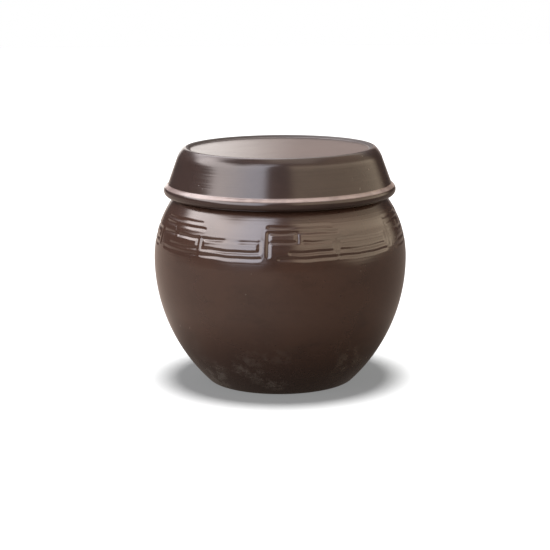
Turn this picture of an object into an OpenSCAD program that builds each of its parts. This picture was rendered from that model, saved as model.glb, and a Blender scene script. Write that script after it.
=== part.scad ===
// Glazed stoneware storage jar with a loose, capped lid.
// The jar stands on the XY plane with its axis on Z, and the front of the fret band faces -Y.

/* [Body] */
// Widest diameter of the jar, at the belly
belly_d = 300; // [280:1:330]
// Height of the belly above the ground
belly_z = 148; // [135:1:160]
// Radius of the long arc from the belly down to the foot
lower_arc = 203.4; // [185:0.2:225]
// Radius of the arc from the belly up over the shoulder
shoulder_arc = 123.6; // [116:0.2:134]
// Rounding at the edge of the foot
foot_edge = 6.8; // [3:0.2:12]
// Thickness of the jar's wall
wall = 8.5; // [6:0.5:12]
// Thickness of the floor
floor_t = 10; // [7:0.5:16]
// Rounding inside, where the wall meets the floor
floor_edge = 20; // [10:1:30]

/* [Neck] */
// Clear width of the mouth
mouth_d = 186; // [170:1:200]
// Thickness of the neck's wall
neck_wall = 9; // [7:0.5:12]
// Rounding between the shoulder and the neck
neck_fillet = 8; // [5:0.5:12]
// Height from the top of that rounding to the middle of the rolled lip
neck_h = 10.2; // [8:0.2:20]
// Radius of the rolled lip
lip_r = 7.5; // [6:0.5:10]

/* [Lid] */
// Clearance between the lip and the underside of the lid
seat_gap = 0.3; // [0.2:0.1:1]
// Clearance all round between the lip and the skirt
skirt_clear = 7.4; // [5:0.1:10]
// Thickness of the lid's skirt
skirt_t = 8; // [6:0.5:10]
// Slope of the skirt from the vertical, in degrees
skirt_slope = 19.9; // [10:0.1:25]
// Height of the skirt's bead above the shoulder inside it
bead_lift = 5; // [4.5:0.1:12]
// Radius of the bead along the skirt's lower edge
bead_r = 6.6; // [5:0.1:8]
// How far the bead stands out from the skirt
bead_proud = 2.5; // [1:0.1:4]
// Thickness of the lid's top plate
plate_t = 9; // [7:0.5:14]
// Height of the rounded rim above the plate
rim_rise = 3.5; // [2:0.1:6]
// Radius of the rounded rim
rim_r = 10.4; // [8:0.1:13]
// Rounding inside, where the skirt meets the plate
inner_edge = 6; // [3:0.5:8]

/* [Fret band] */
// Number of fret units round the shoulder
fret_units = 5; // [3:1:5]
// Turn from one unit to the next, in degrees
fret_pitch = 65; // [64:1:70]
// Turn of the first unit's upright from the front, in degrees
fret_start = -5.3; // [-20:0.1:20]
// Height of the band's lowest line
fret_z = 172; // [165:1:180]
// Width of a groove at the surface
groove_w = 5.6; // [3:0.2:6]
// Depth of a groove
groove_d = 1.3; // [0.6:0.1:2]

/* [Fret rows] */
// Rise from the lowest row to the second
rise_ed = 6.7; // [6.4:0.1:8]
// Rise from the second row to the third
rise_dc = 11.1; // [9:0.1:13]
// Rise from the third row to the fourth
rise_cb = 10.1; // [8:0.1:12]
// Rise from the fourth row to the top one
rise_ba = 6; // [6:0.1:8]
// How far a unit's upright runs down past the second row
upright_foot = 3; // [0:0.5:5]
// How much shallower the uprights are than the rows
upright_lift = 0.3; // [0.2:0.05:0.5]

/* [Fret columns] */
// Turn from a unit's upright to the end of its flag, in degrees
flag_end = 13.2; // [10:0.1:14]
// Turn at which a unit's lowest row starts
low_start = 5; // [4:0.5:12]
// Turn at which a unit's second row starts
mid_start = 10; // [6:0.5:14]
// Turn at which the short box's upper row starts
short_start = 16; // [15.5:0.1:20]
// Turn at which the short box ends
short_end = 30; // [26:0.1:30.2]
// Turn at which the long box starts
long_start = 32.6; // [32.2:0.1:36]
// Turn at which the long box ends
long_end = 61.1; // [55:0.1:61.5]
// Turn left bare on each side of the plain lines that close the back
close_gap = 3; // [2:0.5:4]

/* [Hidden] */
$fn = 180;

glaze = [0.26, 0.19, 0.16];
lid_glaze = [0.33, 0.27, 0.25];

// Overlap by which an arc runs past the line or arc that it blends into
blend = 0.01;

// Body: two arcs that share a level tangent at the belly
belly_r = belly_d / 2;
low_c = belly_r - lower_arc;
high_c = belly_r - shoulder_arc;

function shoulder_r(z) = high_c + sqrt(pow(shoulder_arc, 2) - pow(z - belly_z, 2));
function shoulder_z(r) = belly_z + sqrt(pow(shoulder_arc, 2) - pow(r - high_c, 2));

// Neck: its rounding touches the shoulder arc and the upright neck
mouth_r = mouth_d / 2;
neck_r = mouth_r + neck_wall;
lip_c = mouth_r + lip_r;
fillet_r = neck_r + neck_fillet;
fillet_z = belly_z + sqrt(pow(shoulder_arc + neck_fillet, 2) - pow(fillet_r - high_c, 2));
lip_z = fillet_z + neck_h;
lip_out_r = lip_c + lip_r;
jar_h = lip_z + lip_r;

// Lid: it rests on the lip and its skirt hangs clear of the lip and the shoulder
seat_z = jar_h + seat_gap;
plate_z = seat_z + plate_t;
crest_z = plate_z + rim_rise;
skirt_side = skirt_t / cos(skirt_slope);
bead_z = shoulder_z(lip_out_r + skirt_clear + skirt_t) + bead_lift;

function skirt_in(z) = lip_out_r + skirt_clear - (z - lip_z) * tan(skirt_slope);
function skirt_out(z) = skirt_in(z) + skirt_side;

bead_c = skirt_out(bead_z) + bead_proud - bead_r;
rim_z = crest_z - rim_r;
rim_c = skirt_out(rim_z) - rim_r / cos(skirt_slope);
corner_z = seat_z - inner_edge;
corner_c = skirt_in(corner_z) - inner_edge / cos(skirt_slope);

// Fret rows, counted upward from the lowest line
row_e = fret_z;
row_d = row_e + rise_ed;
row_c = row_d + rise_dc;
row_b = row_c + rise_cb;
row_a = row_b + rise_ba;

// Turn from the X axis back to the front, which faces -Y
front_turn = 90;

// The groove is cut by a round tool that runs along the shoulder arc
tool_r = (pow(groove_w / 2, 2) + pow(groove_d, 2)) / (2 * groove_d);
tool_arc = shoulder_arc + tool_r - groove_d;

function row_angle(z) = asin((z - belly_z) / shoulder_arc);

// Solid outline from the ground to the top of the shoulder, drawn in by inset
module vessel_outline(inset, floor_z, edge) {
    arc_r = lower_arc - inset;
    edge_z = floor_z + edge;
    edge_c = low_c + sqrt(pow(arc_r - edge, 2) - pow(belly_z - edge_z, 2)) + blend;
    tangent_z = belly_z - (belly_z - edge_z) * arc_r / (arc_r - edge);
    intersection() {
        translate([low_c, belly_z])
            circle(r = arc_r);
        translate([0, tangent_z])
            square([belly_r, belly_z - tangent_z]);
    }
    translate([0, floor_z])
        square([edge_c, edge]);
    translate([edge_c, edge_z])
        circle(r = edge);
    intersection() {
        translate([high_c, belly_z])
            circle(r = shoulder_arc - inset);
        translate([0, floor_z + edge])
            square([belly_r, lip_z - edge_z]);
    }
}

// Neck with its rounding onto the shoulder and its rolled lip
module neck_outline() {
    translate([0, belly_z])
        square([neck_r, lip_z - belly_z]);
    translate([0, fillet_z])
        square([lip_c, jar_h - fillet_z]);
    translate([lip_c, lip_z])
        circle(r = lip_r);
    difference() {
        polygon([[high_c, belly_z], [fillet_r, fillet_z], [high_c, fillet_z]]);
        translate([fillet_r, fillet_z])
            circle(r = neck_fillet + blend);
    }
}

// Inside of the jar, open at the mouth, with the lip's inner edge rounded
module hollow_outline() {
    vessel_outline(wall, floor_t, floor_edge);
    translate([0, belly_z])
        square([mouth_r, jar_h - belly_z + 1]);
    difference() {
        translate([0, lip_z])
            square([lip_c, lip_r + 1]);
        translate([lip_c, lip_z])
            circle(r = lip_r);
    }
}

// Level groove at height z between two turns
module level_groove(z, from, to) {
    angle = row_angle(z);
    r = high_c + tool_arc * cos(angle);
    tool_z = belly_z + tool_arc * sin(angle);
    rotate([0, 0, from])
        rotate_extrude(angle = to - from)
            translate([r, tool_z])
                circle(r = tool_r, $fn = 48);
}

// Upright groove at one turn, following the shoulder arc from low to high
module upright_groove(turn, low, high) {
    rotate([0, 0, turn])
        translate([high_c, 0, belly_z])
            rotate([90, 0, 0])
                rotate([0, 0, row_angle(low)])
                    rotate_extrude(angle = row_angle(high) - row_angle(low))
                        translate([tool_arc + upright_lift, 0])
                            circle(r = tool_r, $fn = 48);
}

// One unit of the fret: a flag on its upright, a short box and a long box
module fret_unit() {
    level_groove(row_a, 0, short_end);
    level_groove(row_b, 0, long_start);
    level_groove(row_c, 0, flag_end);
    level_groove(row_c, short_start, short_end);
    level_groove(row_c, long_start, long_end);
    level_groove(row_d, mid_start, short_end);
    level_groove(row_d, long_start, long_end);
    level_groove(row_e, low_start, short_end);
    level_groove(row_e, long_start, long_end);
    upright_groove(0, row_d - upright_foot, row_b);
    upright_groove(flag_end, row_c, row_b);
    upright_groove(short_end, row_d, row_c);
    upright_groove(long_start, row_d, row_c);
    upright_groove(long_end, row_d, row_c);
}

// Whole band: the units run round from the left of the front, and plain lines close the back
module fret_band() {
    first = fret_start - front_turn - 2 * fret_pitch;
    last = first + fret_units * fret_pitch;
    for (i = [0 : fret_units - 1])
        rotate([0, 0, first + i * fret_pitch])
            fret_unit();
    for (z = [row_a, row_b, row_d, row_e])
        level_groove(z, last + close_gap, first + 360 - close_gap);
}

module jar() {
    color(glaze)
        difference() {
            rotate_extrude()
                difference() {
                    union() {
                        vessel_outline(0, 0, foot_edge);
                        neck_outline();
                    }
                    hollow_outline();
                }
            fret_band();
        }
}

// Skirt, rounded rim and bead of the lid as one solid outline
module lid_shell_outline() {
    rim_side = rim_c + (rim_r - blend) * cos(skirt_slope);
    rim_side_z = rim_z + (rim_r - blend) * sin(skirt_slope);
    polygon([[0, bead_z], [skirt_out(bead_z), bead_z], [rim_side, rim_side_z], [rim_c, rim_z], [0, rim_z]]);
    translate([0, rim_z - 1])
        square([rim_c, plate_z - rim_z + 1]);
    translate([rim_c, rim_z])
        circle(r = rim_r);
    translate([bead_c, bead_z])
        circle(r = bead_r);
}

// Space under the lid, with its corner rounded
module lid_hollow_outline() {
    corner_side = corner_c + (inner_edge - blend) * cos(skirt_slope);
    corner_side_z = corner_z + (inner_edge - blend) * sin(skirt_slope);
    low_z = bead_z - bead_r - 1;
    polygon([
        [0, low_z],
        [skirt_in(bead_z), low_z],
        [skirt_in(bead_z), bead_z],
        [corner_side, corner_side_z],
        [corner_c, corner_z],
        [corner_c, seat_z],
        [0, seat_z]
    ]);
    translate([corner_c, corner_z])
        circle(r = inner_edge);
}

module lid() {
    color(lid_glaze)
        rotate_extrude()
            difference() {
                lid_shell_outline();
                lid_hollow_outline();
            }
}

jar();
lid();
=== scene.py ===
"""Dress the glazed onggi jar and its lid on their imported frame, and light them in a plain studio."""

import logging
import math
from dataclasses import dataclass, field
from enum import Enum
from typing import Any, Dict, List, Optional, Tuple

import bmesh
import bpy
from mathutils import Matrix, Vector

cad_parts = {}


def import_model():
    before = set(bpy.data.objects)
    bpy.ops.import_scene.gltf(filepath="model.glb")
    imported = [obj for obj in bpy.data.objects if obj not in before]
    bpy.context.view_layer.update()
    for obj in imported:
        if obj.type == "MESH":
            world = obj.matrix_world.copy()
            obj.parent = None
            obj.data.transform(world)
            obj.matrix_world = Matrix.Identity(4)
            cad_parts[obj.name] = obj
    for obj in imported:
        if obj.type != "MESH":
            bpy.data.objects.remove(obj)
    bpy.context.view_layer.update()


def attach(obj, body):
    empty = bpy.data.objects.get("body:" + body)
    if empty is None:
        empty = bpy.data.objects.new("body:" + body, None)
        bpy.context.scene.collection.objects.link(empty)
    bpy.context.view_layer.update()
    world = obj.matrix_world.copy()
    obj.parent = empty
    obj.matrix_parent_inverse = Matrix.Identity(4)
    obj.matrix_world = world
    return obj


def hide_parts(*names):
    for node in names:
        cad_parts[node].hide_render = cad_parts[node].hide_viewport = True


LOG = logging.getLogger("onggi")
MM = 0.001
WELD = 2e-6
HALF_TURN = 180.0
FULL_TURN = 360.0
PHOTO_PIXELS = 550
FILM_WIDTH = 36.0
Pair = Tuple[float, float]
Axes = Tuple[float, float, float]
Colour = Tuple[float, float, float]
BLACK: Colour = (0.0, 0.0, 0.0)
WHITE: Colour = (1.0, 1.0, 1.0)


class Signal:
    """A shader socket that takes part in Python expressions."""

    def __init__(self, bench: "Bench", socket: bpy.types.NodeSocket) -> None:
        """Wrap one output socket of a node on the bench."""
        self.bench = bench
        self.socket = socket

    def _math(self, operation: str, *values: Any) -> "Signal":
        """Return the result of a Math node on signals or numbers."""
        return self.bench.out("ShaderNodeMath", 0, {"operation": operation}, dict(enumerate(values)))

    def __add__(self, other: Any) -> "Signal":
        """Return self + other."""
        return self._math("ADD", self, other)

    def __radd__(self, other: Any) -> "Signal":
        """Return other + self."""
        return self._math("ADD", other, self)

    def __sub__(self, other: Any) -> "Signal":
        """Return self - other."""
        return self._math("SUBTRACT", self, other)

    def __rsub__(self, other: Any) -> "Signal":
        """Return other - self."""
        return self._math("SUBTRACT", other, self)

    def __mul__(self, other: Any) -> "Signal":
        """Return self * other."""
        return self._math("MULTIPLY", self, other)

    def __rmul__(self, other: Any) -> "Signal":
        """Return other * self."""
        return self._math("MULTIPLY", other, self)

    def rise(self, low: float, high: float) -> "Signal":
        """Return a smooth step of this signal.

        Args:
            low: Where the step starts.
            high: Where the step ends; it may lie below low for a falling step.

        Returns:
            A signal from 0 to 1.
        """
        if low > high:
            return 1 - self.rise(high, low)
        return self.bench.out(
            "ShaderNodeMapRange",
            "Result",
            {"interpolation_type": "SMOOTHSTEP", "clamp": True},
            {"Value": self, "From Min": low, "From Max": high, "To Min": 0.0, "To Max": 1.0},
        )


class Bench:
    """A node tree under construction, with one method for every kind of node."""

    MIX_SOCKETS = (0, 6, 7)
    MIX_RESULT = 2

    def __init__(self, tree: bpy.types.NodeTree) -> None:
        """Start on an emptied node tree."""
        self.tree = tree
        tree.nodes.clear()

    def node(
        self,
        kind: str,
        settings: Optional[Dict[str, Any]] = None,
        inputs: Optional[Dict[Any, Any]] = None,
    ) -> bpy.types.Node:
        """Add a node, set it, and then fill its sockets.

        Args:
            kind: The node's type.
            settings: Properties by name.
            inputs: Values, colours or signals by the socket's name or number.

        Returns:
            The new node.
        """
        made = self.tree.nodes.new(kind)
        for name, value in (settings or {}).items():
            setattr(made, name, value)
        for name, value in (inputs or {}).items():
            socket = made.inputs[name]
            if isinstance(value, Signal):
                self.tree.links.new(value.socket, socket)
            elif socket.type == "RGBA":
                socket.default_value = (*value, 1.0)
            else:
                socket.default_value = value
        return made

    def out(
        self,
        kind: str,
        socket: Any,
        settings: Optional[Dict[str, Any]] = None,
        inputs: Optional[Dict[Any, Any]] = None,
    ) -> Signal:
        """Add a node as the method node does, and return its output of that name or number."""
        return Signal(self, self.node(kind, settings, inputs).outputs[socket])

    def mix(self, factor: Any, first: Any, second: Any) -> Signal:
        """Mix two colours.

        Args:
            factor: How much of the second, from 0 to 1.
            first: A colour or signal.
            second: A colour or signal.

        Returns:
            The mixed colour.
        """
        settings = {"data_type": "RGBA", "clamp_factor": True}
        inputs = dict(zip(self.MIX_SOCKETS, (factor, first, second)))
        return self.out("ShaderNodeMix", self.MIX_RESULT, settings, inputs)

    def stretched(self, where: Signal, scale: Axes) -> Signal:
        """Return coordinates scaled along each axis."""
        return self.out("ShaderNodeMapping", 0, {}, {"Vector": where, "Scale": scale})

    def length(self, where: Signal) -> Signal:
        """Return the distance of coordinates from their origin."""
        return self.out("ShaderNodeVectorMath", "Value", {"operation": "LENGTH"}, {0: where})

    def across(self, where: Signal) -> Signal:
        """Return the distance of coordinates from the upright axis."""
        return self.length(self.stretched(where, (1.0, 1.0, 0.0)))

    def axes(self, where: Signal) -> List[Signal]:
        """Return the three coordinates as signals of their own."""
        parts = self.node("ShaderNodeSeparateXYZ", {}, {0: where}).outputs
        return [Signal(self, part) for part in parts]

    def degrees(self, operation: str, *values: Signal) -> Signal:
        """Return the angle that an inverse trigonometric Math node finds, in degrees."""
        angle = self.out("ShaderNodeMath", 0, {"operation": operation}, dict(enumerate(values)))
        return angle * math.degrees(1.0)

    def spots(self, where: Signal, scale: float) -> Signal:
        """Return the distance from scattered points, in cells."""
        return self.out("ShaderNodeTexVoronoi", "Distance", {}, {"Vector": where, "Scale": scale})


@dataclass(frozen=True)
class Grain:
    """A fractal noise over the clay: how fine, how deep and how harsh it is, and its stretch."""

    scale: float
    detail: float = 3.0
    harshness: float = 0.5
    stretch: Optional[Axes] = None

    def on(self, bench: Bench, where: Signal) -> Signal:
        """Lay the noise on coordinates.

        Args:
            bench: The node tree it is built in.
            where: The coordinates it varies over.

        Returns:
            The noise, around 0.5.
        """
        if self.stretch:
            where = bench.stretched(where, self.stretch)
        inputs = {"Vector": where, "Scale": self.scale, "Detail": self.detail, "Roughness": self.harshness}
        return bench.out("ShaderNodeTexNoise", "Fac", {}, inputs)


@dataclass(frozen=True)
class PaleBeadAndHighlight:
    """Where the glaze runs thinner and paler over the top of the bead, lightened further as a painted
    highlight, in metres.
    """

    # Pale colour of the bead band; its lightness is partly a painted highlight.
    colour: Colour = (0.235, 0.190, 0.176)
    low: float = 0.2343
    high: float = 0.2370
    radius: float = 0.1312
    fade_below: float = 0.0012
    fade_above: float = 0.001
    fade_inside: float = 0.0008
    fade_outside: float = 0.0004
    least: float = 0.62
    patch_span: Pair = (0.35, 0.6)

    def mask(self, height: Signal, across: Signal, patches: Signal) -> Signal:
        """Return how pale the bead band is, thinner glaze and painted highlight together.

        Args:
            height: Height over the base.
            across: Distance from the axis.
            patches: The noise by which the clay shows more or less.

        Returns:
            A mask from 0 to 1.
        """
        pale_bead_and_highlight = height.rise(self.low - self.fade_below, self.low)
        pale_bead_and_highlight = pale_bead_and_highlight * height.rise(self.high + self.fade_above, self.high)
        pale_bead_and_highlight = pale_bead_and_highlight * across.rise(self.radius - self.fade_inside, self.radius + self.fade_outside)
        return pale_bead_and_highlight * (self.least + (1.0 - self.least) * patches.rise(*self.patch_span))


@dataclass(frozen=True)
class DullAndShadedCrest:
    """The rough ring on the inner side of the crest, darkened with painted shade, in metres."""

    low: float = 0.2780
    radius: float = 0.1106
    fade: Pair = (-0.0004, 0.0003)
    fade_across: float = 0.0004
    # How far the ring is darkened: painted shade.
    shade: float = 0.7
    roughness: float = 0.4

    def mask(self, height: Signal, across: Signal) -> Signal:
        """Return the ring's mask from the height over the base and the distance from the axis."""
        dull_and_shaded = height.rise(self.low + self.fade[0], self.low + self.fade[1])
        return dull_and_shaded * across.rise(self.radius + self.fade_across, self.radius - self.fade_across)


@dataclass(frozen=True)
class Glaze:
    """A glossy iron-bearing glaze over red clay, darker and ashier towards the foot.

    A span holds the two values of a pattern between which its mask rises. A share is how far a
    mask takes the colour along.
    """

    name: str
    colour: Colour
    warm: Colour
    dark: Colour
    ash: Colour = (0.10, 0.085, 0.07)
    ior: float = 1.57
    roughness: float = 0.14
    bead: Optional[PaleBeadAndHighlight] = None
    crest: Optional[DullAndShadedCrest] = None

    clouds: Grain = Grain(9.0, 4.0, 0.55)
    cloud_span: Pair = (0.35, 0.68)
    streaks: Grain = Grain(24.0, 5.0, 0.6, (1.0, 1.0, 2.0))
    streak_span: Pair = (0.45, 0.80)
    streak_share: float = 0.45
    streak_rough: float = 0.05
    specks: Grain = Grain(420.0, 2.0, 0.5)
    speck_span: Pair = (0.66, 0.74)
    speck_share: float = 0.75
    speck_least: float = 0.25
    speck_rough: float = 0.08
    patches: Grain = Grain(30.0, 3.0, 0.6)
    patch_span: Pair = (0.5, 0.65)

    ash_height: float = 0.0
    ash_full: float = 0.12
    ash_turn: Axes = (-1.0, 1.0, 1.0)
    ash_mottle: Grain = Grain(95.0, 5.0, 0.65)
    ash_mottle_span: Pair = (0.42, 0.62)
    ash_clouds: Grain = Grain(18.0)
    ash_cloud_span: Pair = (0.48, 0.68)
    ash_share: float = 0.7
    ash_rough: float = 0.16
    foot_share: float = 0.55
    fleck_scale: float = 75.0
    fleck_span: Pair = (0.085, 0.05)
    fleck_clouds: Grain = Grain(7.0)
    fleck_cloud_span: Pair = (0.52, 0.62)
    fleck_share: float = 0.8

    relief_depth: float = 0.00012
    throwing: Grain = Grain(22.0, 3.0, 0.5, (0.35, 0.35, 9.0))
    rings: Grain = Grain(12.0, 2.0, 0.5, (0.1, 0.1, 60.0))
    ring_height: float = 0.5
    swell: Grain = Grain(16.0, 2.0, 0.4)
    swell_height: float = 3.0
    peel: Grain = Grain(240.0, 2.0, 0.5)
    peel_height: float = 0.1
    pinhole_scale: float = 120.0
    pinhole_span: Pair = (0.14, 0.05)
    pinhole_patch_span: Pair = (0.55, 0.7)
    pinhole_depth: float = 1.2

    def material(self) -> bpy.types.Material:
        """Build the material.

        Returns:
            A material whose colour, roughness and relief vary over the surface.
        """
        made = bpy.data.materials.new(self.name)
        made.use_nodes = True
        bench = Bench(made.node_tree)
        where = bench.out("ShaderNodeTexCoord", "Object")
        patches = self.patches.on(bench, where)
        tone, rough = self._coat(bench, where, patches)
        inputs = {
            "Base Color": tone,
            "Roughness": rough,
            "Normal": self._relief(bench, where, patches),
            "IOR": self.ior,
        }
        shader = bench.out("ShaderNodeBsdfPrincipled", 0, {}, inputs)
        bench.node("ShaderNodeOutputMaterial", {}, {0: shader})
        return made

    def _coat(self, bench: Bench, where: Signal, patches: Signal) -> Tuple[Signal, Signal]:
        """Colour the glaze with clouds, streaks, freckles, ash and flecks, and its rims: a pale bead band
        that is partly a painted highlight, and a crest ring darkened with painted shade.

        Args:
            bench: The node tree.
            where: Object coordinates.
            patches: The noise that gathers small marks.

        Returns:
            The colour and the roughness.
        """
        streaks = self.streaks.on(bench, where)
        tone = bench.mix(self.clouds.on(bench, where).rise(*self.cloud_span), self.colour, self.warm)
        tone = bench.mix(streaks.rise(*self.streak_span) * self.streak_share, tone, self.dark)

        gathered = self.speck_least + (1.0 - self.speck_least) * patches.rise(*self.patch_span)
        freckles = self.specks.on(bench, where).rise(*self.speck_span) * gathered
        tone = bench.mix(freckles * self.speck_share, tone, self.dark)

        height = bench.axes(where)[2]
        foot = 0.0 * height
        if self.ash_height:
            foot = height.rise(self.ash_height, self.ash_height * self.ash_full)
        turned = bench.stretched(where, self.ash_turn)
        ashen = foot * self.ash_mottle.on(bench, turned).rise(*self.ash_mottle_span)
        drifts = self.ash_clouds.on(bench, turned).rise(*self.ash_cloud_span)
        # Darker towards the foot.
        tone = bench.mix(foot * self.foot_share, tone, self.dark)
        tone = bench.mix(ashen * drifts * self.ash_share, tone, self.ash)

        flecks = bench.spots(where, self.fleck_scale).rise(*self.fleck_span)
        flecks = flecks * self.fleck_clouds.on(bench, turned).rise(*self.fleck_cloud_span)
        tone = bench.mix(flecks * self.fleck_share, tone, self.ash)

        rough = self.roughness + self.streak_rough * streaks + self.ash_rough * ashen
        rough = rough + self.speck_rough * freckles
        if self.bead:
            # Pale bead band: thinner glaze there, and a painted highlight along the bead's top.
            pale_bead_and_highlight = self.bead.mask(height, bench.across(where), patches)
            tone = bench.mix(pale_bead_and_highlight, tone, self.bead.colour)
        if self.crest:
            # Crest ring: rougher, and darkened with painted shade.
            dull_and_shaded = self.crest.mask(height, bench.across(where))
            tone = bench.mix(dull_and_shaded * self.crest.shade, tone, self.dark)
            rough = rough + self.crest.roughness * dull_and_shaded
        return tone, rough

    def _relief(self, bench: Bench, where: Signal, patches: Signal) -> Signal:
        """Raise the throwing rings, the swell and the peel of the glaze, and sink its pinholes.

        Args:
            bench: The node tree.
            where: Object coordinates.
            patches: The noise that gathers small marks.

        Returns:
            The bent normal.
        """
        pits = bench.spots(where, self.pinhole_scale).rise(*self.pinhole_span)
        pits = pits * patches.rise(*self.pinhole_patch_span)
        relief = self.throwing.on(bench, where) + self.rings.on(bench, where) * self.ring_height
        relief = relief + self.swell.on(bench, where) * self.swell_height
        relief = relief + self.peel.on(bench, where) * self.peel_height - pits * self.pinhole_depth
        inputs = {"Height": relief, "Strength": 1.0, "Distance": self.relief_depth}
        return bench.out("ShaderNodeBump", 0, {}, inputs)


class Wind(Enum):
    """Which way an arc of an outline turns, seen from the front."""

    ANTICLOCKWISE = -1.0
    CLOCKWISE = 1.0


class Outline:
    """A profile in the XZ plane, drawn point by point and turned into a pot on the wheel."""

    def __init__(self, start: Pair) -> None:
        """Set the pen down at a radius and height in millimetres."""
        self.mesh = bmesh.new()
        self.pen = self.mesh.verts.new((start[0] * MM, 0.0, start[1] * MM))

    def line(self, end: Pair, steps: int) -> None:
        """Draw a straight stretch.

        Args:
            end: Its radius and height in millimetres.
            steps: How many edges it gets.
        """
        move = (Vector((end[0] * MM, 0.0, end[1] * MM)) - self.pen.co) / steps
        for _ in range(steps):
            made = bmesh.ops.extrude_vert_indiv(self.mesh, verts=[self.pen])
            self.pen = made["verts"][0]
            bmesh.ops.translate(self.mesh, verts=[self.pen], vec=move)

    def arc(self, centre: Pair, degrees: float, steps: int, wind: Wind) -> None:
        """Draw a round stretch about a centre.

        Args:
            centre: The arc's centre in millimetres.
            degrees: How far it turns.
            steps: How many edges it gets.
            wind: Which way it turns.
        """
        made = bmesh.ops.spin(
            self.mesh,
            geom=[self.pen],
            cent=(centre[0] * MM, 0.0, centre[1] * MM),
            axis=(0.0, wind.value, 0.0),
            angle=math.radians(degrees),
            steps=steps,
            use_duplicate=False,
        )
        self.pen = next(item for item in made["geom_last"] if isinstance(item, bmesh.types.BMVert))

    def turn_on_wheel(self, segments: int) -> bmesh.types.BMesh:
        """Spin the outline round the axis into a closed skin.

        Args:
            segments: How many faces go round.

        Returns:
            The skin, with its poles closed and its faces pointing outwards.
        """
        bmesh.ops.spin(
            self.mesh,
            geom=list(self.mesh.verts) + list(self.mesh.edges),
            cent=(0.0, 0.0, 0.0),
            axis=(0.0, 0.0, 1.0),
            angle=2.0 * math.pi,
            steps=segments,
            use_merge=True,
            use_duplicate=False,
        )
        bmesh.ops.remove_doubles(self.mesh, verts=self.mesh.verts, dist=WELD)
        bmesh.ops.recalc_face_normals(self.mesh, faces=self.mesh.faces)
        return self.mesh


def piece_from(mesh: bmesh.types.BMesh, name: str, finish: bpy.types.Material) -> bpy.types.Object:
    """Turn a bmesh into a smooth-shaded object at the origin.

    Args:
        mesh: The modelled skin, which is freed.
        name: The object's name.
        finish: Its material.

    Returns:
        The new object, linked to the scene.
    """
    data = bpy.data.meshes.new(name)
    for face in mesh.faces:
        face.smooth = True
    mesh.to_mesh(data)
    mesh.free()
    data.materials.append(finish)
    made = bpy.data.objects.new(name, data)
    bpy.context.scene.collection.objects.link(made)
    return made


@dataclass(frozen=True)
class Stroke:
    """One pull of the fingertip through the wet clay, in degrees round and millimetres up."""

    start: Pair
    end: Pair
    press: float = 1.0

    def moved(self, turn: float) -> "Stroke":
        """Return the stroke turned on round the jar."""
        start, end = ((place[0] + turn, place[1]) for place in (self.start, self.end))
        return Stroke(start, end, self.press)


@dataclass(frozen=True)
class Touch:
    """A stretch of the band where the finger hardly pressed, in degrees round and millimetres up."""

    turn: float
    spread: float
    row: float
    reach: float
    share: float

    def weight(self, turn: float, z: float) -> float:
        """Return the share of the usual pressure left at a place, 1 away from the stretch."""
        away = ((turn - self.turn) / self.spread) ** 4 + ((z - self.row) / self.reach) ** 4
        return 1.0 - self.share * math.exp(-away)


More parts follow.
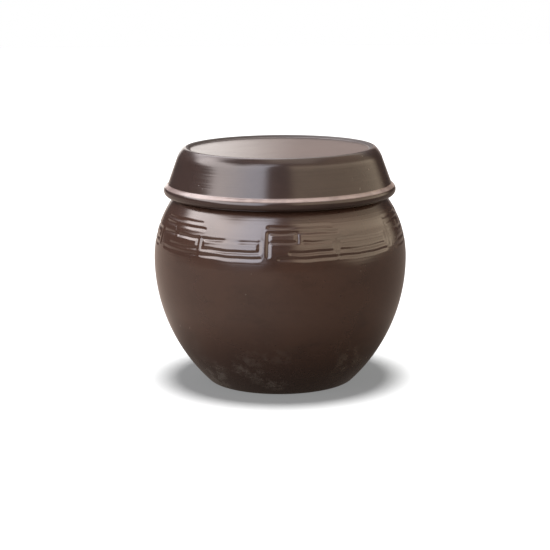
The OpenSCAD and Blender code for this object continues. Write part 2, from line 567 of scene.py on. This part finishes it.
@dataclass
class FretBand:
    """The fret drawn by hand round the shoulder, in degrees round and millimetres.

    A unit has an upright, a flag on top of it, and short and long key shapes beside it.
    """

    pitch: float = 65.0
    units: int = 5
    units_left: float = 2.0
    first: float = -5.3
    gap: float = 3.0
    lowest: float = 172.0
    row_rises: Tuple[float, ...] = (0.0, 6.7, 17.8, 27.9, 33.9)
    flag_end: float = 13.2
    short_start: float = 16.0
    short_end: float = 30.0
    long_start: float = 32.6
    long_end: float = 61.1
    second_start: float = 10.0
    lowest_start: float = 5.0
    upright_drop: float = 3.0
    top_press: float = 0.8
    tie_press: float = 0.7
    lowest_press: float = 0.9

    groove_width: float = 4.8
    groove_depth: float = 0.98
    groove_spread: float = 1.25
    lip_height: float = 0.15
    lip_place: float = 1.35
    lip_width: float = 1.1
    waver: float = 0.35
    waver_pace: float = 0.21
    tremble_share: float = 0.5
    tremble_pace: float = 0.53
    touches: Tuple[Touch, ...] = (
        Touch(turn=52.0, spread=27.0, row=189.0, reach=30.0, share=0.72),
        Touch(turn=-52.0, spread=18.0, row=175.0, reach=8.0, share=0.6),
        Touch(turn=-46.0, spread=12.0, row=209.0, reach=6.0, share=0.45),
        Touch(turn=17.0, spread=12.0, row=206.0, reach=3.0, share=0.85),
        Touch(turn=21.0, spread=10.0, row=194.0, reach=8.0, share=0.5),
        Touch(turn=-54.0, spread=6.0, row=200.0, reach=3.0, share=0.7),
        Touch(turn=-22.5, spread=4.0, row=190.0, reach=3.0, share=0.8),
        Touch(turn=-13.0, spread=5.0, row=190.0, reach=3.0, share=0.35),
    )

    fine_margin: float = 7.0
    press_margin: float = 8.0
    turn_margin: float = 4.0
    reach_share: float = 1.2
    skin_depth: float = 3.0

    def rows(self) -> List[float]:
        """Return the heights of the five lines, lowest first."""
        return [self.lowest + rise for rise in self.row_rises]

    def unit(self) -> List[Stroke]:
        """List the strokes of one unit, counted from its upright.

        Returns:
            The strokes, with turns in degrees and heights in millimetres.
        """
        e, d, c, b, a = self.rows()
        level = [
            (a, 0.0, self.short_end, self.top_press),
            (b, 0.0, self.flag_end, 1.0),
            (b, self.flag_end, self.long_start, self.tie_press),
            (c, 0.0, self.flag_end, 1.0),
            (c, self.short_start, self.short_end, 1.0),
            (c, self.long_start, self.long_end, 1.0),
            (d, self.second_start, self.short_end, 1.0),
            (d, self.long_start, self.long_end, 1.0),
            (e, self.lowest_start, self.short_end, self.lowest_press),
            (e, self.long_start, self.long_end, self.lowest_press),
        ]
        upright = [
            (0.0, d - self.upright_drop, b),
            (self.flag_end, c, b),
            (self.short_end, d, c),
            (self.long_start, d, c),
            (self.long_end, d, c),
        ]
        strokes = [Stroke((start, z), (end, z), press) for z, start, end, press in level]
        return strokes + [Stroke((turn, low), (turn, high)) for turn, low, high in upright]

    def strokes(self) -> List[Stroke]:
        """List every stroke of the band, as turns from the front.

        Returns:
            The units' strokes and the plain lines that close the band at the back.
        """
        start = self.first - self.units_left * self.pitch
        turns = [start + index * self.pitch for index in range(self.units)]
        made = [stroke.moved(turn) for turn in turns for stroke in self.unit()]
        e, d, _, b, a = self.rows()
        close = start + self.units * self.pitch + self.gap
        return made + [Stroke((close, z), (start + FULL_TURN - self.gap, z)) for z in (e, d, b, a)]

    def hand(self, turn: float, z: float) -> float:
        """Return how hard the hand pressed at a place, as a share of its usual weight."""
        return math.prod(touch.weight(turn, z) for touch in self.touches)

    def relief(self, across: float) -> float:
        """Return the height of the clay at a distance from a stroke's middle.

        Args:
            across: The distance in millimetres.

        Returns:
            A negative depth in the groove and a small rise beside it, in millimetres.
        """
        half = self.groove_width / 2.0
        groove = 0.5 + 0.5 * math.cos(math.pi * min(1.0, across / (half * self.groove_spread)))
        ridge = math.exp(-(((across - half * self.lip_place) / self.lip_width) ** 2))
        return self.lip_height * ridge - self.groove_depth * groove

    def _across(self, stroke: Stroke, turn: float, along: float, jar: "JarForm") -> float:
        """Measure from a place on the shoulder to a stroke's wavering middle.

        Args:
            stroke: The stroke.
            turn: Degrees round to the place, on the stroke's side of the jar.
            along: Length along the shoulder to the place.
            jar: The jar's form.

        Returns:
            The distance in millimetres.
        """
        degree = math.radians(1.0) * jar.shoulder_radius(self.rows()[2])
        row = stroke.start[1]
        drift = self.waver * math.sin(self.waver_pace * turn + row)
        drift += self.tremble_share * self.waver * math.sin(self.tremble_pace * turn + 2.0 * row)
        place = Vector((turn * degree, along))
        start = Vector((stroke.start[0] * degree, jar.shoulder_run(row) + drift))
        line = Vector((stroke.end[0] * degree, jar.shoulder_run(stroke.end[1]) + drift)) - start
        share = min(1.0, max(0.0, (place - start).dot(line) / line.length_squared))
        return (place - (start + line * share)).length

    def _rise(self, turn: float, z: float, strokes: List[Stroke], jar: "JarForm") -> float:
        """Work out how far the clay moves at a place on the shoulder.

        Args:
            turn: Degrees round from the front.
            z: Height in millimetres.
            strokes: Every stroke of the band.
            jar: The jar's form.

        Returns:
            The move along the normal in millimetres, negative in a groove.
        """
        along = jar.shoulder_run(z)
        reach = self.groove_width * self.reach_share
        rise = 0.0
        for stroke in strokes:
            middle = 0.5 * (stroke.start[0] + stroke.end[0])
            near = (turn - middle + HALF_TURN) % FULL_TURN - HALF_TURN + middle
            if not stroke.start[0] - self.turn_margin <= near <= stroke.end[0] + self.turn_margin:
                continue
            if not stroke.start[1] - reach <= z <= stroke.end[1] + reach:
                continue
            across = self._across(stroke, near, along, jar)
            if across < reach:
                height = stroke.press * self.hand(turn, z) * self.relief(across)
                rise = min(rise, height) if height < 0.0 or rise < 0.0 else max(rise, height)
        return rise

    def press_into(self, mesh: bmesh.types.BMesh, jar: "JarForm") -> None:
        """Press the band into the outer skin of the shoulder.

        Args:
            mesh: The jar's skin, whose normals point outwards.
            jar: The jar's form, which gives the shoulder's arc.
        """
        low, high = self.rows()[0] - self.press_margin, self.rows()[-1] + self.press_margin
        strokes = self.strokes()
        mesh.normal_update()
        moves = []
        for vert in mesh.verts:
            z = vert.co.z / MM
            radius = math.hypot(vert.co.x, vert.co.y) / MM
            if low < z < high and radius >= jar.shoulder_radius(z) - self.skin_depth:
                turn = math.degrees(math.atan2(vert.co.x, -vert.co.y))
                moves.append((vert, vert.normal * self._rise(turn, z, strokes, jar) * MM))
        for vert, move in moves:
            vert.co += move


@dataclass(frozen=True)
class JarSteps:
    """How many edges each stretch of the jar's outline gets."""

    foot: int = 5
    foot_edge: int = 5
    belly: int = 30
    below_band: int = 4
    band: int = 46
    above_band: int = 8
    neck_foot: int = 5
    neck: int = 1
    lip: int = 16
    mouth: int = 2
    inner_shoulder: int = 10
    inner_belly: int = 14
    floor_edge: int = 5
    floor: int = 4
    wheel: int = 560


@dataclass
class JarForm:
    """The thrown jar: foot, belly, shoulder, neck and rolled lip, in millimetres."""

    belly_r: float = 150.0
    belly_z: float = 148.0
    lower_arc: float = 203.4
    shoulder_arc: float = 123.6
    foot_edge: float = 6.8
    wall: float = 8.5
    floor_t: float = 10.0
    floor_edge: float = 20.0
    mouth_r: float = 93.0
    neck_wall: float = 9.0
    neck_fillet: float = 8.0
    neck_h: float = 10.2
    lip_r: float = 7.5
    steps: JarSteps = JarSteps()
    band: FretBand = field(default_factory=FretBand)

    @property
    def low_c(self) -> float:
        """Radius at which the lower arc is centred."""
        return self.belly_r - self.lower_arc

    @property
    def high_c(self) -> float:
        """Radius at which the shoulder arc is centred."""
        return self.belly_r - self.shoulder_arc

    @property
    def lip_z(self) -> float:
        """Height of the middle of the rolled lip."""
        return self.fillet()[1] + self.neck_h

    def fillet(self) -> Pair:
        """Place the rounding between the shoulder and the neck.

        Returns:
            The radius and height of its centre.
        """
        radius = self.mouth_r + self.neck_wall + self.neck_fillet
        reach = self.shoulder_arc + self.neck_fillet
        return radius, self.belly_z + math.sqrt(reach**2 - (radius - self.high_c) ** 2)

    def shoulder_radius(self, z: float) -> float:
        """Return the shoulder's radius at a height."""
        return self.high_c + math.sqrt(self.shoulder_arc**2 - (z - self.belly_z) ** 2)

    def shoulder_run(self, z: float) -> float:
        """Return the length along the shoulder arc from the belly to a height."""
        return self.shoulder_arc * math.asin((z - self.belly_z) / self.shoulder_arc)

    def _shoulder_turn(self, z: float) -> float:
        """Return how far the shoulder arc turns from the belly to a height, in degrees."""
        return math.degrees(math.asin((z - self.belly_z) / self.shoulder_arc))

    def _edge_turn(self, arc: float, edge: float, floor: float) -> Pair:
        """Place the rounding where a long arc meets a flat.

        Args:
            arc: Radius of the long arc.
            edge: Radius of the rounding.
            floor: Height of the flat.

        Returns:
            The radius of the rounding's centre, and how far the long arc turns to it in degrees.
        """
        centre = self.low_c + math.sqrt((arc - edge) ** 2 - (self.belly_z - floor - edge) ** 2)
        turn = math.degrees(math.atan2(self.belly_z - floor - edge, centre - self.low_c))
        return centre, turn

    def skin(self) -> bmesh.types.BMesh:
        """Draw the outline from the middle of the foot to the middle of the floor and turn it.

        Returns:
            The jar's closed skin.
        """
        steps = self.steps
        belly = (self.low_c, self.belly_z)
        shoulder = (self.high_c, self.belly_z)
        foot_c, foot_turn = self._edge_turn(self.lower_arc, self.foot_edge, 0.0)
        draw = Outline((0.0, 0.0))
        draw.line((foot_c, 0.0), steps.foot)
        draw.arc((foot_c, self.foot_edge), 90.0 - foot_turn, steps.foot_edge, Wind.ANTICLOCKWISE)
        draw.arc(belly, foot_turn, steps.belly, Wind.ANTICLOCKWISE)

        fillet_r, fillet_z = self.fillet()
        low = self._shoulder_turn(self.band.rows()[0] - self.band.fine_margin)
        high = self._shoulder_turn(self.band.rows()[-1] + self.band.fine_margin)
        touch = math.degrees(math.atan2(fillet_z - self.belly_z, fillet_r - self.high_c))
        draw.arc(shoulder, low, steps.below_band, Wind.ANTICLOCKWISE)
        draw.arc(shoulder, high - low, steps.band, Wind.ANTICLOCKWISE)
        draw.arc(shoulder, touch - high, steps.above_band, Wind.ANTICLOCKWISE)
        draw.arc((fillet_r, fillet_z), touch, steps.neck_foot, Wind.CLOCKWISE)

        lip_c = self.mouth_r + self.lip_r
        neck_r = self.mouth_r + self.neck_wall
        meet = math.degrees(math.acos((neck_r - lip_c) / self.lip_r))
        neck_top = self.lip_z - self.lip_r * math.sin(math.radians(meet))
        draw.line((neck_r, neck_top), steps.neck)
        draw.arc((lip_c, self.lip_z), meet + 180.0, steps.lip, Wind.ANTICLOCKWISE)

        inner_shoulder = self.shoulder_arc - self.wall
        inner_belly = self.lower_arc - self.wall
        floor_c, floor_turn = self._edge_turn(inner_belly, self.floor_edge, self.floor_t)
        floor_edge = (floor_c, self.floor_t + self.floor_edge)
        mouth_turn = math.degrees(math.acos((self.mouth_r - self.high_c) / inner_shoulder))
        mouth_foot = self.belly_z + inner_shoulder * math.sin(math.radians(mouth_turn))
        draw.line((self.mouth_r, mouth_foot), steps.mouth)
        draw.arc(shoulder, mouth_turn, steps.inner_shoulder, Wind.CLOCKWISE)
        draw.arc(belly, floor_turn, steps.inner_belly, Wind.CLOCKWISE)
        draw.arc(floor_edge, 90.0 - floor_turn, steps.floor_edge, Wind.CLOCKWISE)
        draw.line((0.0, self.floor_t), steps.floor)
        return draw.turn_on_wheel(steps.wheel)


@dataclass(frozen=True)
class LidSteps:
    """How many edges each stretch of the lid's outline gets."""

    plate: int = 14
    dish: int = 8
    crest: int = 18
    brow: int = 8
    skirt: int = 12
    hollow: int = 8
    bead: int = 22
    bead_foot: int = 2
    inner_skirt: int = 6
    corner: int = 6
    under_plate: int = 5
    wheel: int = 400


@dataclass
class LidForm:
    """The capped lid: skirt with a rolled bead, rounded rim and sunken plate, in millimetres."""

    jar: JarForm
    seat_gap: float = 0.3
    skirt_clear: float = 7.4
    skirt_t: float = 8.0
    skirt_slope: float = 19.9
    bead_lift: float = 5.0
    bead_r: float = 6.6
    bead_proud: float = 2.5
    hollow_r: float = 5.0
    plate_t: float = 10.0
    rim_rise: float = 2.5
    crest_r: float = 5.2
    brow_r: float = 30.0
    brow_turn: float = 25.0
    dish_r: float = 3.0
    inner_edge: float = 6.0
    steps: LidSteps = LidSteps()

    @property
    def lip_out(self) -> float:
        """Outer radius of the jar's rolled lip."""
        return self.jar.mouth_r + 2.0 * self.jar.lip_r

    @property
    def seat_z(self) -> float:
        """Height of the plate's underside."""
        return self.jar.lip_z + self.jar.lip_r + self.seat_gap

    @property
    def bead_z(self) -> float:
        """Height of the middle of the bead."""
        reach = self.lip_out + self.skirt_clear + self.skirt_t - self.jar.high_c
        return self.jar.belly_z + math.sqrt(self.jar.shoulder_arc**2 - reach**2) + self.bead_lift

    def skirt_in(self, z: float) -> float:
        """Return the skirt's inner radius at a height."""
        slope = math.tan(math.radians(self.skirt_slope))
        return self.lip_out + self.skirt_clear - (z - self.jar.lip_z) * slope

    def skirt_out(self, z: float) -> float:
        """Return the skirt's outer radius at a height."""
        return self.skirt_in(z) + self.skirt_t / math.cos(math.radians(self.skirt_slope))

    def skin(self) -> bmesh.types.BMesh:
        """Draw the outline from the middle of the plate over the rim and back under it.

        Returns:
            The lid's closed skin.
        """
        steps = self.steps
        lean = math.radians(self.skirt_slope)
        plate_z = self.seat_z + self.plate_t
        crest_z = plate_z + self.rim_rise - self.crest_r
        crest_c = self._crest_centre(crest_z)
        dish_z = plate_z + self.dish_r
        reach = self.crest_r + self.dish_r
        dish_turn = math.degrees(math.acos((dish_z - crest_z) / reach))
        dish_c = crest_c - reach * math.sin(math.radians(dish_turn))
        draw = Outline((0.0, plate_z))
        draw.line((dish_c, plate_z), steps.plate)
        draw.arc((dish_c, dish_z), dish_turn, steps.dish, Wind.ANTICLOCKWISE)

        brow_end = self.skirt_slope + self.brow_turn
        step = self.brow_r - self.crest_r
        brow = (
            crest_c - step * math.cos(math.radians(brow_end)),
            crest_z - step * math.sin(math.radians(brow_end)),
        )
        draw.arc((crest_c, crest_z), dish_turn + 90.0 - brow_end, steps.crest, Wind.CLOCKWISE)
        draw.arc(brow, self.brow_turn, steps.brow, Wind.CLOCKWISE)

        bead_c = self.skirt_out(self.bead_z) + self.bead_proud - self.bead_r
        inner_r = self.skirt_in(self.bead_z)
        hollow, hollow_turn = self._bead_hollow(bead_c)
        skirt_foot = (
            hollow[0] - self.hollow_r * math.cos(lean),
            hollow[1] - self.hollow_r * math.sin(lean),
        )
        bottom_turn = 180.0 - math.degrees(math.acos((bead_c - inner_r) / self.bead_r))
        bead_turn = self.skirt_slope + hollow_turn + bottom_turn
        draw.line(skirt_foot, steps.skirt)
        draw.arc(hollow, hollow_turn, steps.hollow, Wind.ANTICLOCKWISE)
        draw.arc((bead_c, self.bead_z), bead_turn, steps.bead, Wind.CLOCKWISE)
        draw.line((inner_r, self.bead_z), steps.bead_foot)

        corner_z = self.seat_z - self.inner_edge
        corner_c = self.skirt_in(corner_z) - self.inner_edge / math.cos(lean)
        inner_top = (
            corner_c + self.inner_edge * math.cos(lean),
            corner_z + self.inner_edge * math.sin(lean),
        )
        draw.line(inner_top, steps.inner_skirt)
        draw.arc((corner_c, corner_z), 90.0 - self.skirt_slope, steps.corner, Wind.ANTICLOCKWISE)
        draw.line((0.0, self.seat_z), steps.under_plate)
        return draw.turn_on_wheel(steps.wheel)

    def _crest_centre(self, crest_z: float) -> float:
        """Return the radius about which the crest rounds, so that the brow meets the skirt.

        Args:
            crest_z: Height of the crest's centre.

        Returns:
            The radius of the crest's centre.
        """
        lean = math.radians(self.skirt_slope)
        turn_in = math.radians(self.skirt_slope + self.brow_turn)
        step = self.brow_r - self.crest_r
        brow_z = crest_z - step * math.sin(turn_in)
        brow_c = self.skirt_out(brow_z) - self.brow_r / math.cos(lean)
        return brow_c + step * math.cos(turn_in)

    def _bead_hollow(self, bead_c: float) -> Tuple[Pair, float]:
        """Place the soft hollow between the skirt and its bead.

        Args:
            bead_c: Radius of the bead's middle.

        Returns:
            The hollow's centre, and how far it turns from the skirt to the bead, in degrees.
        """
        lean = math.radians(self.skirt_slope)
        inside = (self.skirt_out(self.bead_z) - bead_c) * math.cos(lean)
        reach = self.hollow_r + self.bead_r
        turn = math.acos((self.hollow_r + inside) / reach)
        centre = (
            bead_c + reach * math.cos(lean + turn),
            self.bead_z + reach * math.sin(lean + turn),
        )
        return centre, math.degrees(turn)


@dataclass
class Onggi:
    """The whole jar with its lid, dressed."""

    jar: JarForm = field(default_factory=JarForm)
    body_glaze: Glaze = Glaze(
        name="body_glaze",
        colour=(0.034, 0.0185, 0.0135),
        warm=(0.040, 0.021, 0.0145),
        dark=(0.016, 0.009, 0.007),
        ash_height=0.085,
    )
    lid_glaze: Glaze = Glaze(
        name="lid_glaze",
        colour=(0.027, 0.0175, 0.015),
        warm=(0.032, 0.020, 0.0165),
        dark=(0.013, 0.009, 0.008),
        ior=1.45,
        bead=PaleBeadAndHighlight(),
        crest=DullAndShadedCrest(),
    )

    def build_jar(self) -> bpy.types.Object:
        """Model the jar's skin, press the band into it and glaze it.

        Returns:
            The jar's piece.
        """
        mesh = self.jar.skin()
        self.jar.band.press_into(mesh, self.jar)
        piece = piece_from(mesh, "thrown_jar", self.body_glaze.material())
        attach(piece, "jar")
        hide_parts("jar")
        return piece

    def build_lid(self) -> bpy.types.Object:
        """Model the lid's skin and glaze it.

        Returns:
            The lid's piece.
        """
        mesh = LidForm(self.jar).skin()
        piece = piece_from(mesh, "thrown_lid", self.lid_glaze.material())
        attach(piece, "lid")
        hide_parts("lid")
        return piece


class Compass:
    """The way a ray leaves to.

    turn goes round from the front to the right and height goes up from level. over goes from
    level in front, through straight up, to level behind. All three are in degrees. x points right
    and y points back, both as parts of 1.
    """

    def __init__(self, bench: Bench) -> None:
        """Read the ray's way from the world's coordinates.

        Args:
            bench: The world's node tree.
        """
        self.x, self.y, z = bench.axes(bench.out("ShaderNodeTexCoord", "Generated"))
        front = 0.0 - self.y
        self.turn = bench.degrees("ARCTAN2", self.x, front)
        self.height = bench.degrees("ARCSINE", z)
        self.over = bench.degrees("ARCTAN2", z, front)


class Panel:
    """A patch of the surroundings that the glaze reflects."""

    def light(self, bench: Bench, way: Compass) -> Tuple[Signal, Any]:
        """Work out where the patch lies and what it shines with.

        Args:
            bench: The world's node tree.
            way: The way a ray leaves to.

        Returns:
            A mask from 0 to 1, and the colour under it.
        """
        raise NotImplementedError


@dataclass(frozen=True)
class Window(Panel):
    """The bright window on the left, with a climbing sill and a head that drops to the far side."""

    left: Colour = (8.6, 7.9, 7.8)
    right: Colour = (6.4, 6.5, 7.3)
    colour_turns: Pair = (-70.0, -25.0)
    far_turns: Pair = (-128.0, -108.0)
    near_turns: Pair = (-11.0, -21.0)
    slant: float = 14.0
    slant_heights: Pair = (44.0, 58.0)
    sill: float = 7.0
    sill_climb: float = 17.0
    sill_turns: Pair = (-42.0, -92.0)
    sill_blur: Pair = (-4.0, 4.0)
    head_heights: Pair = (62.0, 50.0)
    head_drop: float = 10.0
    head_turns: Pair = (-34.0, -60.0)
    shade: float = 0.12
    shade_heights: Pair = (40.0, 24.0)

    def light(self, bench: Bench, way: Compass) -> Tuple[Signal, Any]:
        """Return the window's mask and its colour."""
        near = way.turn - self.slant * way.height.rise(*self.slant_heights)
        sill = way.height - (self.sill + self.sill_climb * way.turn.rise(*self.sill_turns))
        head = way.height + self.head_drop * way.turn.rise(*self.head_turns)
        mask = way.turn.rise(*self.far_turns) * near.rise(*self.near_turns)
        mask = mask * sill.rise(*self.sill_blur) * head.rise(*self.head_heights)
        glass = bench.mix(way.turn.rise(*self.colour_turns), self.left, self.right)
        return mask, bench.mix(way.height.rise(*self.shade_heights) * self.shade, glass, BLACK)


@dataclass(frozen=True)
class Wall(Panel):
    """The warm wall on the right, with a bent ledge across it and dim eaves on top."""

    low: Colour = (2.6, 2.15, 1.62)
    high: Colour = (2.9, 2.3, 1.75)
    colour_heights: Pair = (26.0, 40.0)
    near_turns: Pair = (8.0, 20.0)
    far_turns: Pair = (140.0, 122.0)
    foot: float = 10.0
    foot_turns: Pair = (80.0, 30.0)
    foot_blur: Pair = (-2.0, 4.0)
    top_heights: Pair = (62.0, 50.0)
    ledge_height: float = 28.5
    ledge_bend: float = 0.00135
    ledge_under: Pair = (-6.0, -1.0)
    ledge_over: Pair = (7.0, 2.0)
    ledge_shade: float = 0.42
    eaves_bend: float = 0.0021
    eaves_heights: Pair = (45.0, 55.0)
    eaves_shade: float = 0.66

    def light(self, bench: Bench, way: Compass) -> Tuple[Signal, Any]:
        """Return the wall's mask and its colour."""
        foot = way.height - self.foot * way.turn.rise(*self.foot_turns)
        mask = way.turn.rise(*self.near_turns) * way.turn.rise(*self.far_turns)
        mask = mask * foot.rise(*self.foot_blur) * way.height.rise(*self.top_heights)
        plaster = bench.mix(way.height.rise(*self.colour_heights), self.low, self.high)
        bend = way.height + self.ledge_bend * way.turn * way.turn - self.ledge_height
        ledge = bend.rise(*self.ledge_under) * bend.rise(*self.ledge_over)
        plaster = bench.mix(ledge * self.ledge_shade, plaster, BLACK)
        eaves = (way.height + self.eaves_bend * way.turn * way.turn).rise(*self.eaves_heights)
        return mask, bench.mix(eaves * self.eaves_shade, plaster, BLACK)


@dataclass(frozen=True)
class Rear(Panel):
    """The low light far behind, brighter on the left."""

    left: Colour = (1.66, 1.55, 1.48)
    right: Colour = (0.60, 0.49, 0.455)
    colour_sides: Pair = (-0.055, 0.015)
    depths: Pair = (0.93, 0.98)
    low_heights: Pair = (-5.0, -1.0)
    high_heights: Pair = (34.0, 18.0)

    def light(self, bench: Bench, way: Compass) -> Tuple[Signal, Any]:
        """Return the rear light's mask and its colour."""
        mask = way.y.rise(*self.depths) * way.height.rise(*self.low_heights)
        mask = mask * way.height.rise(*self.high_heights)
        return mask, bench.mix(way.x.rise(*self.colour_sides), self.left, self.right)


@dataclass(frozen=True)
class Sky(Panel):
    """The bright sky above and behind, brighter on the left."""

    left: Colour = (4.8, 4.5, 4.6)
    right: Colour = (1.3, 1.2, 1.05)
    colour_sides: Pair = (-0.15, 0.30)
    front_overs: Pair = (88.0, 104.0)
    back_overs: Pair = (156.0, 142.0)
    heights: Pair = (24.0, 36.0)

    def light(self, bench: Bench, way: Compass) -> Tuple[Signal, Any]:
        """Return the sky's mask and its colour."""
        mask = way.over.rise(*self.front_overs) * way.over.rise(*self.back_overs)
        mask = mask * way.height.rise(*self.heights)
        return mask, bench.mix(way.x.rise(*self.colour_sides), self.left, self.right)


@dataclass(frozen=True)
class Haze(Panel):
    """The dim haze high in front, before the sky."""

    colour: Colour = (1.9, 1.65, 1.42)
    front_overs: Pair = (60.0, 72.0)
    back_overs: Pair = (104.0, 92.0)
    left_sides: Pair = (-0.30, -0.05)
    right_sides: Pair = (0.60, 0.35)

    def light(self, bench: Bench, way: Compass) -> Tuple[Signal, Any]:
        """Return the haze's mask and its colour."""
        mask = way.over.rise(*self.front_overs) * way.over.rise(*self.back_overs)
        mask = mask * way.x.rise(*self.left_sides) * way.x.rise(*self.right_sides)
        return mask, self.colour


@dataclass
class Studio:
    """Camera, plain floor and soft light."""

    aim: Axes = (0.0, 0.0, 0.1335)
    distance: float = 2.0
    elevation: float = 11.3
    roll: float = -0.4
    focal_pixels: float = 1669.0
    aim_pixel: Pair = (280.3, 267.6)

    floor_size: float = 12.0
    paper: Colour = (0.03, 0.03, 0.03)
    paper_glow: Colour = (0.226, 0.229, 0.230)
    # Ground glow that the glaze sees: a painted shadow near the jar, fading out to the far ground.
    painted_shadow_ground: Colour = (0.17, 0.14, 0.12)
    far_ground: Colour = (0.62, 0.50, 0.43)
    painted_shadow_fade: Pair = (0.12, 0.30)
    # Painted shade on the ground glow towards the right.
    painted_shade_sides: Pair = (-0.25, 0.25)
    painted_shade_right: float = 0.50

    lamp_energy: float = 122.0
    lamp_spread: float = 26.0
    lamp_tilt: float = -1.0
    lamp_lean: float = 0.4

    horizon: Colour = (0.07, 0.06, 0.06)
    zenith: Colour = (0.35, 0.35, 0.38)
    dusk_heights: Pair = (10.0, 40.0)
    panels: Tuple[Panel, ...] = (Haze(), Sky(), Rear(), Wall(), Window())

    def place_camera(self) -> bpy.types.Object:
        """Set the camera at the photograph's angle.

        Returns:
            The camera object, made the scene's camera.
        """
        centre = PHOTO_PIXELS / 2.0
        data = bpy.data.cameras.new("camera")
        data.sensor_width = FILM_WIDTH
        data.lens = self.focal_pixels * FILM_WIDTH / PHOTO_PIXELS
        data.shift_x = -(self.aim_pixel[0] - centre) / PHOTO_PIXELS
        data.shift_y = -(centre - self.aim_pixel[1]) / PHOTO_PIXELS
        camera = bpy.data.objects.new("camera", data)
        bpy.context.scene.collection.objects.link(camera)
        tilt = math.radians(self.elevation)
        back = Vector((0.0, -math.cos(tilt), math.sin(tilt)))
        place = Matrix.Translation(Vector(self.aim) + back * self.distance)
        stand = Matrix.Rotation(math.radians(90.0) - tilt, 4, "X")
        spin = Matrix.Rotation(math.radians(self.roll), 4, "Z")
        camera.matrix_world = place @ stand @ spin
        bpy.context.scene.camera = camera
        return camera

    def lay_floor(self) -> bpy.types.Object:
        """Lay a floor that the camera sees as white with a shadow, and the glaze as a glowing ground with
        a painted shadow round the jar and painted shade on the right.

        Returns:
            The floor object.
        """
        made = bpy.data.materials.new("studio_floor")
        made.use_nodes = True
        bench = Bench(made.node_tree)
        sheet = bench.out("ShaderNodeBsdfDiffuse", 0, {}, {"Color": self.paper})
        glow = bench.out("ShaderNodeEmission", 0, {}, {"Color": self.paper_glow, "Strength": 1.0})
        paper = bench.out("ShaderNodeAddShader", 0, {}, {0: sheet, 1: glow})
        where = bench.out("ShaderNodeTexCoord", "Object")
        # Painted shadow: the ground glow darkens near the jar.
        span = bench.length(where).rise(*self.painted_shadow_fade)
        side = bench.axes(where)[0].rise(*self.painted_shade_sides)
        tone = bench.mix(span, self.painted_shadow_ground, self.far_ground)
        # Painted shade: the ground glow darkens towards the right.
        tone = bench.mix(side * self.painted_shade_right, tone, BLACK)
        ground = bench.out("ShaderNodeEmission", 0, {}, {"Color": tone, "Strength": 1.0})
        seen = bench.out("ShaderNodeLightPath", "Is Camera Ray")
        both = bench.out("ShaderNodeMixShader", 0, {}, {0: seen, 1: ground, 2: paper})
        bench.node("ShaderNodeOutputMaterial", {}, {0: both})
        mesh = bmesh.new()
        bmesh.ops.create_grid(mesh, x_segments=1, y_segments=1, size=self.floor_size / 2.0)
        floor = piece_from(mesh, "studio_floor", made)
        return floor

    def hang_lamp(self, floor: bpy.types.Object) -> bpy.types.Object:
        """Hang a soft lamp above that lights the floor alone, for the shadow on it.

        Args:
            floor: The only object that the lamp lights.

        Returns:
            The lamp object.
        """
        lit = bpy.data.collections.new("lit_floor")
        lit.objects.link(floor)
        data = bpy.data.lights.new("overhead", "SUN")
        data.energy = self.lamp_energy
        data.angle = math.radians(self.lamp_spread)
        lamp = bpy.data.objects.new("overhead", data)
        bpy.context.scene.collection.objects.link(lamp)
        lean = Matrix.Rotation(math.radians(-self.lamp_lean), 4, "Y")
        tilt = Matrix.Rotation(math.radians(-self.lamp_tilt), 4, "X")
        lamp.matrix_world = lean @ tilt
        lamp.light_linking.receiver_collection = lit
        return lamp

    def fill_world(self) -> None:
        """Surround the object with panels of light over a dark horizon, on white for the camera."""
        world = bpy.data.worlds.new("studio")
        bpy.context.scene.world = world
        world.use_nodes = True
        bench = Bench(world.node_tree)
        way = Compass(bench)
        light = bench.mix(way.height.rise(*self.dusk_heights), self.horizon, self.zenith)
        for panel in self.panels:
            mask, colour = panel.light(bench, way)
            light = bench.mix(mask, light, colour)
        seen = bench.out("ShaderNodeLightPath", "Is Camera Ray")
        light = bench.mix(seen, light, WHITE)
        shade = bench.out("ShaderNodeBackground", 0, {}, {"Color": light, "Strength": 1.0})
        bench.node("ShaderNodeOutputWorld", {}, {0: shade})

    def set_up(self) -> None:
        """Place the camera, the floor and the light."""
        self.place_camera()
        self.hang_lamp(self.lay_floor())
        self.fill_world()
        bpy.context.scene.view_settings.view_transform = "Standard"


def main() -> None:
    """Build the studio and every piece in order."""
    logging.basicConfig(level=logging.INFO, format="%(name)s: %(message)s")
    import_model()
    Studio().set_up()
    onggi = Onggi()
    for build in (onggi.build_jar, onggi.build_lid):
        piece = build()
        LOG.info("%s: %d faces", piece.name, len(piece.data.polygons))
    bpy.context.view_layer.update()


if __name__ == "__main__":
    main()
